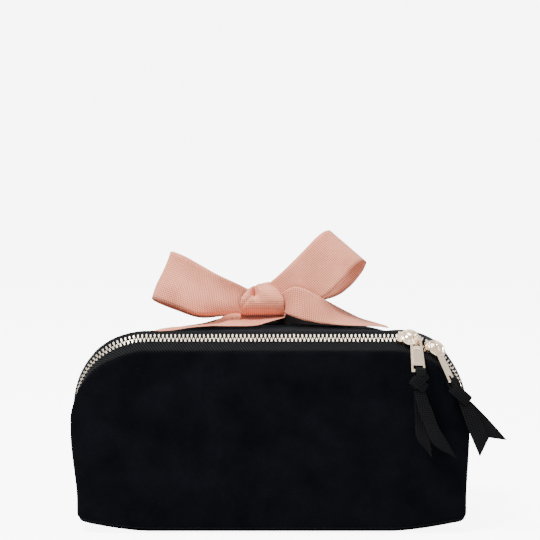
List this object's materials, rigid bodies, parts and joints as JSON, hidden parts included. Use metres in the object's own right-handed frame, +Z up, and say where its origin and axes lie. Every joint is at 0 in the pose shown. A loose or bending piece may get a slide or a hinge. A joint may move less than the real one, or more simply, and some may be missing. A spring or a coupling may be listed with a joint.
{
  "type": "makeup bag",
  "caption": "Boxy black velvet makeup bag with a pale metal zip over its front shoulder, tasselled pulls and a pink ribbon bow.",
  "frame": {"origin": "centre of the flat base", "axes": "+X to the bag's right seen from the front, -Y out of the front, +Z up"},
  "size_m": [0.2795, 0.1222, 0.193],
  "materials": {
    "velvet": "black cotton velvet with a short pile",
    "foam": "soft foam interlining",
    "lining": "plain woven lining",
    "board": "stiff base board",
    "zip_tape": "woven zip tape",
    "zip_metal": "pale champagne metal",
    "pull_metal": "polished pale rose-gold plate",
    "pink_ribbon": "dusty pink grosgrain ribbon",
    "black_ribbon": "black grosgrain ribbon"
  },
  "bodies": {
    "root": {"back_panel": "velvet", "top_gusset": "velvet", "left_side_panel": "velvet", "right_side_panel": "velvet", "bottom_panel": "velvet", "lower_front_panel": "velvet", "back_foam": "foam", "gusset_foam": "foam", "left_side_foam": "foam", "right_side_foam": "foam", "lower_front_foam": "foam", "base_board": "board", "back_lining": "lining", "gusset_lining": "lining", "left_side_lining": "lining", "right_side_lining": "lining", "lower_front_lining": "lining", "bottom_lining": "lining", "rear_zip_tape": "zip_tape", "rear_zip_teeth": "zip_metal", "left_zip_stop": "zip_metal", "right_zip_stop": "zip_metal", "bow_anchor_loop": "black_ribbon", "bow_left_loop": "pink_ribbon", "bow_right_loop": "pink_ribbon", "bow_knot": "pink_ribbon", "bow_left_tail": "pink_ribbon", "bow_right_tail": "pink_ribbon"},
    "front_flap": {"flap_panel": "velvet", "flap_foam": "foam", "flap_lining": "lining", "front_zip_tape": "zip_tape", "front_zip_teeth": "zip_metal"},
    "slider_1": {"slider_1_body": "pull_metal", "slider_1_crown": "pull_metal"},
    "pull_1": {"pull_1": "pull_metal"},
    "tassel_1": {"tassel_1_knot": "black_ribbon", "tassel_1_tail_a": "black_ribbon", "tassel_1_tail_b": "black_ribbon"},
    "slider_2": {"slider_2_body": "pull_metal", "slider_2_crown": "pull_metal"},
    "pull_2": {"pull_2": "pull_metal"},
    "tassel_2": {"tassel_2_knot": "black_ribbon", "tassel_2_tail_a": "black_ribbon", "tassel_2_tail_b": "black_ribbon"}
  },
  "joints": [
    {"name": "flap_hinge", "type": "hinge", "parent": "root", "child": "front_flap", "pos_m": [0, -0.055, 0.046], "axis": [1, 0, 0], "range_deg": [0, 85], "deforming": ["front_zip_tape", "front_zip_teeth", "rear_zip_tape", "rear_zip_teeth"]},
    {"name": "slider_1_travel", "type": "slide", "parent": "front_flap", "child": "slider_1", "axis": [-1, 0, 0.0064], "range_m": [0, 0.157]},
    {"name": "pull_1_swing", "type": "hinge", "parent": "slider_1", "child": "pull_1", "pos_m": [0.09205, -0.05064, 0.12468], "axis": [-0.9871, -0.1517, 0.0513], "range_deg": [0, 130]},
    {"name": "tassel_1_swing", "type": "hinge", "parent": "pull_1", "child": "tassel_1", "pos_m": [0.09312, -0.06427, 0.10507], "axis": [-0.9871, -0.1517, 0.0513], "range_deg": [0, 60]},
    {"name": "slider_2_travel", "type": "hinge", "parent": "front_flap", "child": "slider_2", "pos_m": [0.078, -0.0476, 0.077], "axis": [0, 1, 0], "range_deg": [0, 56]},
    {"name": "pull_2_swing", "type": "hinge", "parent": "slider_2", "child": "pull_2", "pos_m": [0.10541, -0.05064, 0.11826], "axis": [-0.8145, -0.564, -0.136], "range_deg": [0, 130]},
    {"name": "tassel_2_swing", "type": "hinge", "parent": "pull_2", "child": "tassel_2", "pos_m": [0.11462, -0.05901, 0.09785], "axis": [-0.8145, -0.564, -0.136], "range_deg": [0, 60]}
  ]
}
